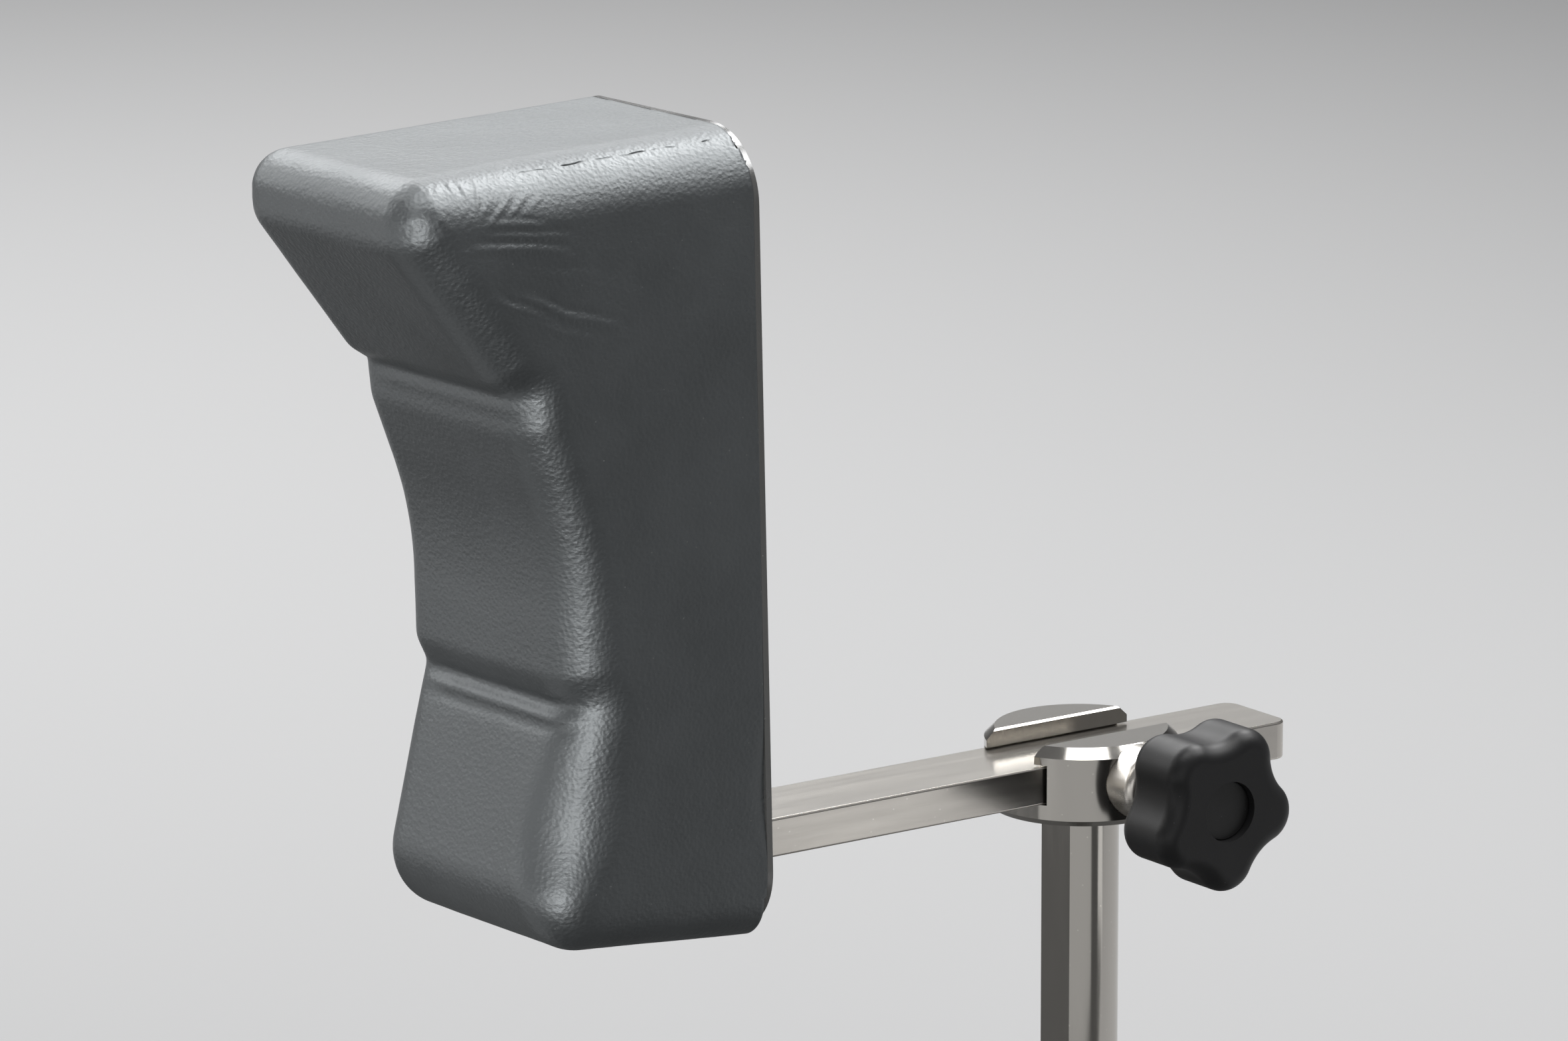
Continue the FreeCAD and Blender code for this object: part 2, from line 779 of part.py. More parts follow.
def main():
    os.makedirs("parts", exist_ok=True)
    for make in (
        clamp_head,
        mounting_post,
        post_screw,
        threaded_boss,
        pressure_shoe,
        shoe_ring,
        clamp_screw,
        knob_body,
        knob_bush,
        knob_nut,
        knob_cap,
        slide_bar,
        mounting_plate,
        back_cover,
        pad_board,
        pad_inserts,
        pad_washers,
        pad_lock_washers,
        pad_screws,
        pad_foam,
    ):
        save(make.__name__, make())


main()
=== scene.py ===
import math

import bmesh
import bpy
import numpy as np
from mathutils import Matrix, Vector


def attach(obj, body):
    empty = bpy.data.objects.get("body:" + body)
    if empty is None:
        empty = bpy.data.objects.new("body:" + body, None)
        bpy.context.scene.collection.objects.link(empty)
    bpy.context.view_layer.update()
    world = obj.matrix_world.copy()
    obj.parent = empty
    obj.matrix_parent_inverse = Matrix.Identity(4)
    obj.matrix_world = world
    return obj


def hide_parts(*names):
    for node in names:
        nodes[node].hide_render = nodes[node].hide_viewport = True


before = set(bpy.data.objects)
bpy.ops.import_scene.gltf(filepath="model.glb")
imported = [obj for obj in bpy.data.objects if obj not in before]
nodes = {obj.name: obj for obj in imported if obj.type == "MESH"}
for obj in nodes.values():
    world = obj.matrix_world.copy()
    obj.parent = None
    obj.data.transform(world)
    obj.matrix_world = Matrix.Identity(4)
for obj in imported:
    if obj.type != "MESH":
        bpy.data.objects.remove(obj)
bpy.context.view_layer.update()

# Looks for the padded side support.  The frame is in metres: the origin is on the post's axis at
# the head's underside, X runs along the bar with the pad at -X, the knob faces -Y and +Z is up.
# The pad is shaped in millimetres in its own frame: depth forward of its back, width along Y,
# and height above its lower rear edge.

MM = 0.001


# ---------------------------------------------------------------- the pad's form

PAD_LEAN = math.radians(1.25)
PAD_TURN = math.radians(3)
PAD_BACK_X = -124.5
PAD_LOW_Z = 5.5
PAD_BELOW_BAR = 13.6
PAD_HALF = 35.5
PAD_HEIGHT = 203.4
LIP_DEPTH = 103.1
LIP_BOTTOM = PAD_HEIGHT - 15.8
TOE_DEPTH = 72.6
TOE_HEIGHT = 9.0
WAIST_DEPTH = 59.0
GROOVE_HEIGHT = 68.7
STEP_DEPTH = 71.0
STEP_HEIGHT = 147.7
FAR_RADIUS = 9.0
NEAR_RADIUS = 12.0
NEAR_TOP_RADIUS = 15.5
NEAR_LOW_RADIUS = 19.5

# Where the near side's rounding grows towards its top radius, as (start, over): up, and back from the lip
TOP_GROWS_UP = (176, 20)
TOP_GROWS_BACK = (2 - LIP_DEPTH, 42)

# Where it grows downwards to its low radius and then shrinks round the toe, as (height, over, share)
LOW_STAGES = ((118, 50, 0.45), (64, 28, 0.55), (38, 30, -1.15))

BEHIND = -12

# The side view as (depth, height, radius) corners.  It runs on behind the pad's back, which stays sharp.
PAD_PROFILE = (
    (BEHIND, BEHIND * TOE_HEIGHT / TOE_DEPTH, 0),
    (TOE_DEPTH, TOE_HEIGHT, 16),
    (WAIST_DEPTH + 0.8, GROOVE_HEIGHT - 13, 30),
    (WAIST_DEPTH - 3, GROOVE_HEIGHT, 3.2),
    (WAIST_DEPTH, GROOVE_HEIGHT + 6.5, 9),
    (WAIST_DEPTH, GROOVE_HEIGHT + 38.5, 90),
    (STEP_DEPTH - 0.8, STEP_HEIGHT - 9.5, 14),
    (STEP_DEPTH, STEP_HEIGHT, 2),
    (STEP_DEPTH + 5.6, STEP_HEIGHT + 3.8, 7),
    (LIP_DEPTH, LIP_BOTTOM, 10),
    (LIP_DEPTH, PAD_HEIGHT, 9.5),
    (BEHIND, PAD_HEIGHT, 0),
)
ARC_SPACING = 0.8
FAR_AWAY = 1e9
TINY = 1e-12


def rounded_outline(corners):
    """Points along a closed outline whose corners are arcs."""
    points = []
    count = len(corners)
    for i, (u, v, radius) in enumerate(corners):
        here = np.array((u, v), float)
        back = np.array(corners[i - 1][:2]) - here
        on = np.array(corners[(i + 1) % count][:2]) - here
        back /= np.linalg.norm(back)
        on /= np.linalg.norm(on)
        half = math.acos(float(back @ on)) / 2
        if radius == 0:
            points.append(here)
            continue
        middle = (back + on) / np.linalg.norm(back + on)
        centre = here + middle * radius / math.sin(half)
        start = here + back * radius / math.tan(half)
        sweep = math.pi - 2 * half
        turn = math.copysign(1, back[0] * on[1] - back[1] * on[0])
        steps = max(3, int(sweep * radius / ARC_SPACING))
        for k in range(steps + 1):
            angle = -turn * sweep * k / steps
            spin = np.array(((math.cos(angle), -math.sin(angle)), (math.sin(angle), math.cos(angle))))
            points.append(centre + spin @ (start - centre))
    return np.array(points)


def distance_to_outline(points, outline):
    """Signed distance from points to a closed outline, negative inside."""
    nearest = np.full(len(points), FAR_AWAY)
    inside = np.zeros(len(points), bool)
    for a, b in zip(outline, np.roll(outline, -1, axis=0)):
        along = b - a
        offset = points - a
        share = np.clip(offset @ along / max(along @ along, TINY), 0, 1)
        gap = offset - share[:, None] * along
        nearest = np.minimum(nearest, (gap * gap).sum(1))
        crosses = (a[1] > points[:, 1]) != (b[1] > points[:, 1])
        climb = along[1] if abs(along[1]) > TINY else TINY
        inside ^= crosses & (points[:, 0] < a[0] + along[0] * (points[:, 1] - a[1]) / climb)
    return np.where(inside, -1, 1) * np.sqrt(nearest)


class Profile:
    """The side view's signed distance, kept on a grid for quick reading."""

    CELL = 0.4
    LOW = np.array((-6.0, -14.0))
    SIZE = (310, 600)
    SMOOTHINGS = 3

    def __init__(self, corners):
        across, up = np.meshgrid(np.arange(self.SIZE[0]), np.arange(self.SIZE[1]), indexing="ij")
        spots = self.LOW + self.CELL * np.stack((across.ravel(), up.ravel()), 1)
        outline = rounded_outline(corners)
        grid = distance_to_outline(spots, outline).reshape(self.SIZE)
        for _ in range(self.SMOOTHINGS):
            middle = grid[1:-1, 1:-1]
            around = grid[2:, 1:-1] + grid[:-2, 1:-1] + grid[1:-1, 2:] + grid[1:-1, :-2]
            middle += 0.5 * (around / 4 - middle)
        self.grid = grid

    def __call__(self, depth, height):
        u = np.clip((depth - self.LOW[0]) / self.CELL, 0, self.SIZE[0] - 1.001)
        v = np.clip((height - self.LOW[1]) / self.CELL, 0, self.SIZE[1] - 1.001)
        i = u.astype(int)
        j = v.astype(int)
        s = u - i
        t = v - j
        g = self.grid
        low = g[i, j] * (1 - s) + g[i + 1, j] * s
        high = g[i, j + 1] * (1 - s) + g[i + 1, j + 1] * s
        return low * (1 - t) + high * t


def rise(value, start, over):
    """0 up to the start, 1 from start + over on, and smooth between."""
    x = np.clip((value - start) / over, 0, 1)
    return x * x * (3 - 2 * x)


def near_radius(depth, height):
    """The near side's rounding: wider along the top and towards the bottom, and small round the toe."""
    top = rise(height, *TOP_GROWS_UP) * rise(-depth, *TOP_GROWS_BACK)
    low = sum(share * rise(-height, -start, over) for start, over, share in LOW_STAGES)
    return NEAR_RADIUS + (NEAR_TOP_RADIUS - NEAR_RADIUS) * top + (NEAR_LOW_RADIUS - NEAR_RADIUS) * low


def form(profile, at):
    """Signed distance to the pad's outer form at (depth, width, height) points, in mm."""
    depth, width, height = at.T
    radius = np.where(width < 0, near_radius(depth, height), FAR_RADIUS)
    face = profile(depth, height) + radius
    side = np.abs(width) - PAD_HALF + radius
    outside = np.hypot(np.maximum(face, 0), np.maximum(side, 0))
    return np.minimum(np.maximum(face, side), 0) + outside - radius


def gradient(profile, at):
    """The form's slope along each axis, from points a short step to either side."""
    step = 0.25
    slopes = []
    for axis in np.eye(3) * step:
        slopes.append((form(profile, at + axis) - form(profile, at - axis)) / (2 * step))
    return np.stack(slopes, 1)


def settle(profile, at, moving, rounds):
    """Moves the chosen points onto the outer form."""
    spots = at[moving]
    for _ in range(rounds):
        slope = gradient(profile, spots)
        size = np.maximum((slope * slope).sum(1), 0.25)
        spots = spots - (form(profile, spots) / size)[:, None] * slope
    at[moving] = spots
    return at


def spun(across, up, angle):
    """Two coordinates turned by an angle."""
    c, s = math.cos(angle), math.sin(angle)
    return across * c - up * s, across * s + up * c


def to_pad(points):
    """Frame metres to the pad's (depth, width, height) in mm."""
    x, y, z = points.T / MM
    x, width = spun(x - PAD_BACK_X, y, -PAD_TURN)
    x, z = spun(x, z - PAD_LOW_Z, -PAD_LEAN)
    return np.stack((-x, width, z + PAD_BELOW_BAR), 1)


def from_pad(points):
    """The pad's (depth, width, height) in mm to frame metres."""
    depth, width, height = points.T
    x, z = spun(-depth, height - PAD_BELOW_BAR, PAD_LEAN)
    x, y = spun(x, width, PAD_TURN)
    return MM * np.stack((x + PAD_BACK_X, y, z + PAD_LOW_Z), 1)


# ---------------------------------------------------------------- creases and marks on the skin

def smooth_path(points):
    """A smooth curve through a few given (depth, height) points."""
    steps = 12
    p = np.array(points, float)
    p = np.vstack((2 * p[0] - p[1], p, 2 * p[-1] - p[-2]))
    run = []
    for a, b, c, d in zip(p[:-3], p[1:-2], p[2:-1], p[3:]):
        for k in range(steps):
            t = k / steps
            run.append(0.5 * (2 * b + (c - a) * t + (2 * a - 5 * b + 4 * c - d) * t**2
                              + (3 * b - a - 3 * c + d) * t**3))
    run.append(p[-2])
    return np.array(run)


# A crease's valley lies this many reaches above its ridge, and past the last number nothing is left
VALLEY_ABOVE = 1.7
CREASE_ENDS = 5


def crease(depth, height, points, reach, lift, shadow=1.0):
    """A low fold along a path: a ridge with a valley just above it, fading out at both ends."""
    path = smooth_path(points)
    nearest = np.full(len(depth), FAR_AWAY)
    signed = np.zeros(len(depth))
    fade = np.zeros(len(depth))
    count = len(path) - 1
    for k in range(count):
        a = path[k]
        along = path[k + 1] - a
        length = np.hypot(*along)
        du = depth - a[0]
        dv = height - a[1]
        share = np.clip((du * along[0] + dv * along[1]) / length**2, 0, 1)
        gap = np.hypot(du - share * along[0], dv - share * along[1])
        closer = gap < nearest
        nearest = np.where(closer, gap, nearest)
        cross = (along[0] * dv - along[1] * du) / length
        flip = -1 if along[0] < 0 else 1
        signed = np.where(closer, flip * cross, signed)
        place = (k + share) / count
        fade = np.where(closer, np.sin(math.pi * np.clip(place * 0.92 + 0.04, 0, 1)) ** 0.6, fade)
    across = np.where(np.abs(signed) < nearest - 1e-6, np.copysign(nearest, signed), signed)
    ridge = np.exp(-(across / reach) ** 2)
    valley = np.exp(-((across - VALLEY_ABOVE * reach) / reach) ** 2)
    near_path = nearest < CREASE_ENDS * reach
    return np.where(near_path, lift * fade * (ridge - shadow * valley), 0)


# Folds on the near side below the lip, as (path, reach, lift) in mm
SIDE_FOLDS = (
    (((86, 186.6), (81.5, 186.2), (75, 185.4), (67.3, 184.2), (58.2, 182.1)), 1.05, 0.26),
    (((81.4, 188.9), (73.7, 188.1), (67.2, 187), (57.4, 185.9)), 0.95, 0.20),
    (((80.7, 192.0), (72.4, 190.8), (64.1, 189.3)), 0.91, 0.10),
    (((71.6, 173.3), (66.4, 170.9), (58.7, 166.8), (52.8, 165.1), (43, 161.8)), 1.04, 0.20),
    (((79.3, 174.2), (75.5, 171.5), (71.7, 170.1), (62.7, 166.3)), 0.98, 0.17),
    (((70.3, 167.8), (59.9, 162.8), (49.5, 159.3)), 1.17, 0.10),
    (((68, 178.5), (60, 176.6), (50, 175.6)), 1.2, 0.07),
)

# Short gathers that fan out below the near top edge, as above; their valleys are shallower
TOP_FAN_SHADOW = 0.6
TOP_FANS = (
    (((66.8, 197.9), (70.8, 195.3), (74.5, 192.6)), 0.7, 0.12),
    (((70.7, 199), (76, 195), (81.3, 191.5)), 0.7, 0.15),
    (((75.9, 199.7), (79.2, 197), (82.2, 194.3)), 0.65, 0.13),
    (((80.2, 200.8), (81.6, 198.4), (83.0, 195.6)), 0.6, 0.08),
    (((84.2, 201.7), (84.6, 199.9), (84.6, 197.8)), 0.6, 0.12),
    (((87.4, 202.4), (87.6, 200.8), (87.5, 199.3)), 0.6, 0.10),
    (((61.5, 197.6), (66, 194.9), (70.3, 192.6)), 0.7, 0.07),
)

# Dashes of the split along the near top edge, as (first depth, last depth, strength)
SPLIT_DASHES = (
    (8, 12, 0.7), (19, 27, 0.45), (28, 37, 0.8),
    (38, 44, 0.4), (46, 54, 0.9), (55, 67, 0.45),
)
SPLIT_FROM = 6
SPLIT_TO = 67
SPLIT_WIDTH = NEAR_TOP_RADIUS * 0.5 - PAD_HALF
SPLIT_HEIGHT = PAD_HEIGHT - 0.134 * NEAR_TOP_RADIUS
SPLIT_DEPTH = 0.42
SPLIT_TAPER = 1.5
SPLIT_LEAST = 0.14
SPLIT_OPENS = 0.09
# It wanders to either side in two waves along the rounded edge, as (reach in mm, radians per mm, start)
SPLIT_WAVES = ((0.22, 0.31, 0), (0.12, 0.83, 1))
EDGE_SLOPE = 0.6

# Where the folds fade in on the near side, as (start, over) in mm
NEAR_SIDE = (14, 12)

# Where the front's waves fade in, as (start, over): by how far a face looks forward, and in from the
# far side and the near side, in mm
FRONT_FACING = (0.5, 0.4)
FRONT_HALF = PAD_HALF - 3
FRONT_FAR = (-FRONT_HALF, 16)
FRONT_NEAR = (-FRONT_HALF, 9)

# Waves across the front, as (distance down, reach, height) in mm: the bead, the groove's valley and
# the dip under the bead, from the groove's edge down, and the rolled edge, from the step down
GROOVE_EDGE = 0.4
GROOVE_WAVES = ((3.3, 1.2, 0.55), (0, 1.5, -0.8), (6.0, 1.5, -0.35))
STEP_ROLL = (3, 2.1, 0.42)

# Unevenness of the whole skin, and more of it on top of the lip, as (size, seed, height) in mm, and
# where that fades in, as (start, over)
SKIN_WAVES = ((34, 3, 0.05), (8, 5, 0.012))
LIP_WAVE = (2.6, 8, 0.022)
LIP_FORWARD = (74, 20)
LIP_UP = (185, 8)
NOISE_WAVES = 14
NOISE_SPREAD = 3.7

# The folded part of the near side, where faces are made smaller, in the pad's mm
FOLDS_DEPTH = 40
FOLDS_WIDTH = -15
FOLDS_HEIGHT = 155
# Rounds of refining, as (how far the folded part grows, how far from the split), in mm
FOLD_ROUNDS = ((1.5, 2.4), (0.5, 1.9), (None, 1.5), (None, 1.1))


def noise(points, size, seed):
    """Smooth noise in about -1..1 from a few waves of one size; the same on every run."""
    source = np.random.default_rng(seed)
    total = np.zeros(len(points))
    for _ in range(NOISE_WAVES):
        way = source.normal(size=3)
        way /= np.linalg.norm(way)
        phase = points @ way * (2 * math.pi / size) * source.uniform(0.6, 1.5)
        total += np.sin(phase + source.uniform(0, 6.3))
    return total / NOISE_SPREAD


def skin_relief(at, outward):
    """Height of the folds, the groove's bead and the soft unevenness above the plain form, in mm."""
    depth, width, height = at.T
    near = rise(-width, *NEAR_SIDE)
    relief = np.zeros(len(at))
    for path, reach, lift in SIDE_FOLDS:
        relief += near * crease(depth, height, path, reach, lift)
    for path, reach, lift in TOP_FANS:
        relief += near * crease(depth, height, path, reach, lift, TOP_FAN_SHADOW)
    front = rise(outward[:, 0], *FRONT_FACING) * rise(-width, *FRONT_FAR) * rise(width, *FRONT_NEAR)
    below = GROOVE_HEIGHT - GROOVE_EDGE - height
    waves = sum(lift * np.exp(-((below - down) / reach) ** 2) for down, reach, lift in GROOVE_WAVES)
    relief += front * waves
    down, reach, lift = STEP_ROLL
    relief += front * lift * np.exp(-((STEP_HEIGHT - down - height) / reach) ** 2)
    relief += sum(lift * noise(at, size, seed) for size, seed, lift in SKIN_WAVES)
    size, seed, lift = LIP_WAVE
    on_lip = rise(depth, *LIP_FORWARD) * rise(height, *LIP_UP)
    relief += lift * on_lip * noise(at, size, seed)
    return relief - split_depth(at)


def split_depth(at):
    """Depth of the fine dashed split in the skin along the near top edge, in mm."""
    depth, width, height = at.T
    strength = np.zeros(len(at))
    for first, last, amount in SPLIT_DASHES:
        strength += amount * rise(depth, first, SPLIT_TAPER) * rise(-depth, -last, SPLIT_TAPER)
    wander = sum(reach * np.sin(depth * rate + start) for reach, rate, start in SPLIT_WAVES)
    along_width = width - SPLIT_WIDTH - wander
    along_height = EDGE_SLOPE * (height - SPLIT_HEIGHT + EDGE_SLOPE * wander)
    opening = SPLIT_LEAST + SPLIT_OPENS * strength
    return SPLIT_DEPTH * strength * np.exp(-(np.hypot(along_width, along_height) / opening) ** 2)


def subdivide_region(mesh, chosen):
    """Splits the chosen faces once, with clean joins to the rest."""
    work = bmesh.new()
    work.from_mesh(mesh)
    work.faces.ensure_lookup_table()
    edges = {e for i in chosen for e in work.faces[i].edges}
    bmesh.ops.subdivide_edges(work, edges=list(edges), cuts=1, use_grid_fill=True)
    work.to_mesh(mesh)
    work.free()


def refine_creases(mesh):
    """Smaller faces where the folds are, and much smaller ones along the split."""
    for grow, split_room in FOLD_ROUNDS:
        at = np.empty(3 * len(mesh.polygons))
        mesh.polygons.foreach_get("center", at)
        depth, width, height = at.reshape(-1, 3).T
        near_split = np.hypot(width - SPLIT_WIDTH, height - SPLIT_HEIGHT) < split_room
        chosen = near_split & (depth > SPLIT_FROM) & (depth < SPLIT_TO)
        if grow is not None:
            folded = (width < FOLDS_WIDTH + grow) & (depth > FOLDS_DEPTH - grow)
            chosen |= folded & (height > FOLDS_HEIGHT - grow)
        subdivide_region(mesh, np.nonzero(chosen)[0])


def read_points(mesh):
    """The mesh's points as rows."""
    flat = np.empty(3 * len(mesh.vertices))
    mesh.vertices.foreach_get("co", flat)
    return flat.reshape(-1, 3)


def write_points(mesh, points):
    """Sets the mesh's points from rows."""
    mesh.vertices.foreach_set("co", np.ascontiguousarray(points).ravel())
    mesh.update()


# The remesh's cell in metres
VOXEL = 0.0009

# Room round the board's pocket, the depth behind which only the rim counts as skin, and how far in
# the rim reaches, in mm
POCKET_ROOM = 1.6
BACK_REACH = 2.6
BACK_RIM = 1.2

# Where the relief fades in from the pad's back, as (start, over) in mm
RELIEF_FORWARD = (3, 8)


def pad_cushion():
    """The moulded foam pad: the CAD solid remeshed fine, settled on the moulded form, then creased."""
    source = nodes["pad_foam"]
    mesh = bpy.data.meshes.new_from_object(source)
    mesh.transform(source.matrix_world)
    obj = bpy.data.objects.new("pad_cushion", mesh)
    bpy.context.scene.collection.objects.link(obj)
    remesh = obj.modifiers.new("even", "REMESH")
    remesh.mode = "VOXEL"
    remesh.voxel_size = VOXEL
    ready = obj.evaluated_get(bpy.context.evaluated_depsgraph_get())
    fine = bpy.data.meshes.new_from_object(ready)
    obj.modifiers.clear()
    obj.data = fine
    fine.name = "pad_cushion"

    profile = Profile(PAD_PROFILE)
    placed = np.array(nodes["pad_board"].matrix_world)
    board = to_pad(read_points(nodes["pad_board"].data) @ placed[:3, :3].T + placed[:3, 3])
    pocket_low = board.min(0) - POCKET_ROOM
    pocket_high = board.max(0) + POCKET_ROOM

    def outer(at):
        """Which points are skin: none in the board's pocket, and at the back only the rim."""
        in_pocket = ((at > pocket_low) & (at < pocket_high)).all(1)
        return ~in_pocket & ((at[:, 0] > BACK_REACH) | (form(profile, at) > -BACK_RIM))

    at = to_pad(read_points(fine))
    at = settle(profile, at, outer(at), 5)
    write_points(fine, at)
    refine_creases(fine)
    at = read_points(fine)
    skin = outer(at)
    at = settle(profile, at, skin, 2)
    outward = gradient(profile, at)
    outward /= np.maximum(np.linalg.norm(outward, axis=1), 0.2)[:, None]
    lift = skin_relief(at, outward) * skin * rise(at[:, 0], *RELIEF_FORWARD)
    at = at + outward * lift[:, None]
    write_points(fine, from_pad(at))
    fine.polygons.foreach_set("use_smooth", np.ones(len(fine.polygons), bool))
    fine.materials.clear()
    fine.materials.append(foam_skin())
    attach(obj, "bar")
    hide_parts("pad_foam")


# ---------------------------------------------------------------- materials

class Look:
    """One material and short ways to wire its nodes."""

    def __init__(self, name, colour, roughness, metallic=0.0, specular=0.5):
        self.material = bpy.data.materials.new(name)
        self.material.use_nodes = True
        self.tree = self.material.node_tree
        self.shader = self.tree.nodes["Principled BSDF"]
        self.shader.inputs["Base Color"].default_value = (*colour, 1)
        self.shader.inputs["Roughness"].default_value = roughness
        self.shader.inputs["Metallic"].default_value = metallic
        self.shader.inputs["Specular IOR Level"].default_value = specular
        self.coords = self.add("ShaderNodeTexCoord").outputs["Object"]
        self.normal = None

    def add(self, kind, **settings):
        """A new node with the given settings."""
        node = self.tree.nodes.new(kind)
        for key, value in settings.items():
            setattr(node, key, value)
        return node

    def join(self, out, into):
        """A link from one socket to another."""
        self.tree.links.new(out, into)

    def noise(self, scale, detail=2.0, rough=0.5, stretch=None):
        """Cloudy noise, which may be stretched along an axis."""
        node = self.add("ShaderNodeTexNoise")
        node.inputs["Scale"].default_value = scale
        node.inputs["Detail"].default_value = detail
        node.inputs["Roughness"].default_value = rough
        coords = self.coords
        if stretch is not None:
            mapping = self.add("ShaderNodeMapping")
            mapping.inputs["Scale"].default_value = stretch
            self.join(coords, mapping.inputs["Vector"])
            coords = mapping.outputs["Vector"]
        self.join(coords, node.inputs["Vector"])
        return node.outputs["Fac"]

    def cells(self, scale, feature="F1", smooth=None):
        """Distance from the middle of small cells."""
        node = self.add("ShaderNodeTexVoronoi", feature=feature)
        node.inputs["Scale"].default_value = scale
        if smooth is not None:
            node.inputs["Smoothness"].default_value = smooth
        self.join(self.coords, node.inputs["Vector"])
        return node.outputs["Distance"]

    def ramp(self, value, stops):
        """A value turned into a colour or a grey between (place, colour) stops."""
        node = self.add("ShaderNodeValToRGB")
        while len(node.color_ramp.elements) < len(stops):
            node.color_ramp.elements.new(0.5)
        for element, (place, colour) in zip(node.color_ramp.elements, stops):
            element.position = place
            element.color = (*colour, 1) if isinstance(colour, tuple) else (colour, colour, colour, 1)
        self.join(value, node.inputs["Fac"])
        return node.outputs["Color"]

    def bump(self, height, strength, depth_mm):
        """A fine relief on top of any that is there."""
        node = self.add("ShaderNodeBump")
        node.inputs["Strength"].default_value = strength
        node.inputs["Distance"].default_value = depth_mm * MM
        self.join(height, node.inputs["Height"])
        if self.normal is not None:
            self.join(self.normal, node.inputs["Normal"])
        self.normal = node.outputs["Normal"]
        self.join(self.normal, self.shader.inputs["Normal"])

    def colour_from(self, value, stops):
        """The base colour from a value."""
        self.join(self.ramp(value, stops), self.shader.inputs["Base Color"])

    def roughness_from(self, value, low, high):
        """Roughness between low and high from the middle range of a noise."""
        node = self.add("ShaderNodeMapRange")
        node.inputs["From Min"].default_value = 0.3
        node.inputs["From Max"].default_value = 0.7
        node.inputs["To Min"].default_value = low
        node.inputs["To Max"].default_value = high
        self.join(value, node.inputs["Value"])
        self.join(node.outputs["Result"], self.shader.inputs["Roughness"])

    def roughness_on_edges(self, extra):
        """Adds to the roughness on the narrow faces that slope between upright and level."""
        faces = self.add("ShaderNodeTexCoord").outputs["Normal"]
        parts = self.add("ShaderNodeSeparateXYZ")
        self.join(faces, parts.inputs["Vector"])
        tilt = self.add("ShaderNodeMath", operation="ABSOLUTE")
        self.join(parts.outputs["Z"], tilt.inputs[0])
        edge = self.ramp(tilt.outputs["Value"], ((0.3, 0.0), (0.45, extra), (0.8, extra), (0.93, 0.0)))
        total = self.add("ShaderNodeMath", operation="ADD")
        rough = self.shader.inputs["Roughness"]
        self.join(rough.links[0].from_socket, total.inputs[0])
        self.join(edge, total.inputs[1])
        self.join(total.outputs["Value"], rough)


def foam_skin():
    """Dark grey moulded skin with a fine leathery grain, cloudy gloss and a few pale specks."""
    look = Look("foam_skin_grained", (0.02, 0.021, 0.023), 0.42, specular=0.9)
    look.shader.inputs["IOR"].default_value = 1.78
    look.shader.inputs["Specular Tint"].default_value = (0.93, 0.98, 1.0, 1)
    grain = look.cells(900, "SMOOTH_F1", 0.6)
    look.bump(grain, 0.6, 0.17)
    wrinkles = look.noise(1100, 2.5, 0.55, (1.0, 1.0, 1.9))
    look.bump(wrinkles, 0.5, 0.14)
    clouds = look.noise(38, 4, 0.6)
    look.roughness_from(clouds, 0.46, 0.52)
    specks = look.cells(240)
    mix = look.add("ShaderNodeMix", data_type="RGBA")
    look.join(look.ramp(specks, ((0.0, 1.0), (0.035, 1.0), (0.05, 0.0))), mix.inputs["Factor"])
    tone = look.ramp(clouds, ((0.3, (0.009, 0.0105, 0.011)), (0.7, (0.014, 0.0158, 0.0168))))
    look.join(tone, mix.inputs["A"])
    mix.inputs["B"].default_value = (0.07, 0.07, 0.068, 1)
    look.join(mix.outputs["Result"], look.shader.inputs["Base Color"])
    return look.material


WARM_STEEL = (0.66, 0.63, 0.585)
DULL_STEEL = (0.52, 0.50, 0.465)
ZINC = (0.62, 0.62, 0.60)


def satin_steel(name, roughness, brushed=None, colour=WARM_STEEL, dull_edge=0.0):
    """Plated steel with a fine satin finish, faint brushing and small bright nicks; its edges may be
    duller than its faces."""
    look = Look(name, colour, roughness, metallic=1.0)
    streaks = look.noise(420, 3, 0.6, brushed)
    look.roughness_from(streaks, roughness - 0.02, roughness + 0.03)
    if dull_edge:
        look.roughness_on_edges(dull_edge)
    look.bump(streaks, 0.03, 0.02)
    nicks = look.cells(420)
    pale = tuple(min(1.0, c * 1.25) for c in colour)
    look.colour_from(nicks, ((0.0, pale), (0.06, pale), (0.10, colour), (1.0, colour)))
    return look.material


def moulded_plastic(name, colour, roughness, grain_mm=0.35, specular=0.5, ior=1.5):
    """Dark moulded plastic with a fine spark texture and a little dust."""
    look = Look(name, colour, roughness, specular=specular)
    look.shader.inputs["IOR"].default_value = ior
    look.bump(look.noise(1 / (grain_mm * MM), 2, 0.5), 0.25, 0.06)
    dust = look.cells(330)
    pale = tuple(c * 3.5 + 0.02 for c in colour)
    look.colour_from(dust, ((0.0, pale), (0.03, pale), (0.05, colour), (1.0, colour)))
    look.roughness_from(look.noise(60, 3), roughness - 0.04, roughness + 0.06)
    return look.material


def turned_brass():
    """The pressure shoe's brass."""
    look = Look("shoe_brass_turned", (0.72, 0.52, 0.24), 0.34, metallic=1.0)
    look.roughness_from(look.noise(300, 3), 0.28, 0.42)
    return look.material


def birch_board():
    """Plywood with long streaks of grain."""
    look = Look("board_birch", (0.5, 0.34, 0.19), 0.6)
    rings = look.noise(90, 4, 0.6, (1, 0.12, 0.12))
    look.colour_from(rings, ((0.35, (0.42, 0.27, 0.14)), (0.65, (0.56, 0.40, 0.24))))
    look.bump(rings, 0.2, 0.1)
    return look.material


